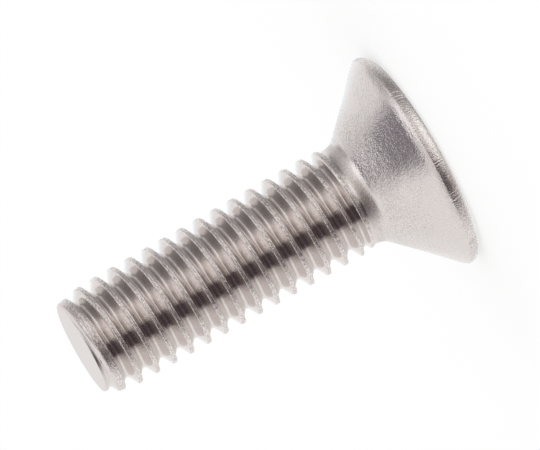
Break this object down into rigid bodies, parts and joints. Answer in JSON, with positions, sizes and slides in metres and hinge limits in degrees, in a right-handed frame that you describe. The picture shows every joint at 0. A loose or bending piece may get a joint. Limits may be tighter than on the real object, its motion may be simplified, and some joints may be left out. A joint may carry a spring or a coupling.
{
  "type": "countersunk socket screw",
  "caption": "Countersunk hexagon-socket machine screw with a conical seat, a short plain neck and a fully threaded right-hand shank.",
  "frame": {"origin": "centre of the head's flat face, on the screw's axis", "axes": "+Z along the screw's axis, from the head's flat face towards the tip"},
  "size_m": [0.0118, 0.0118, 0.02],
  "materials": {
    "stainless": "bright tumbled stainless steel, as rolled on the thread"
  },
  "bodies": {
    "root": {"screw": "stainless"}
  },
  "joints": []
}
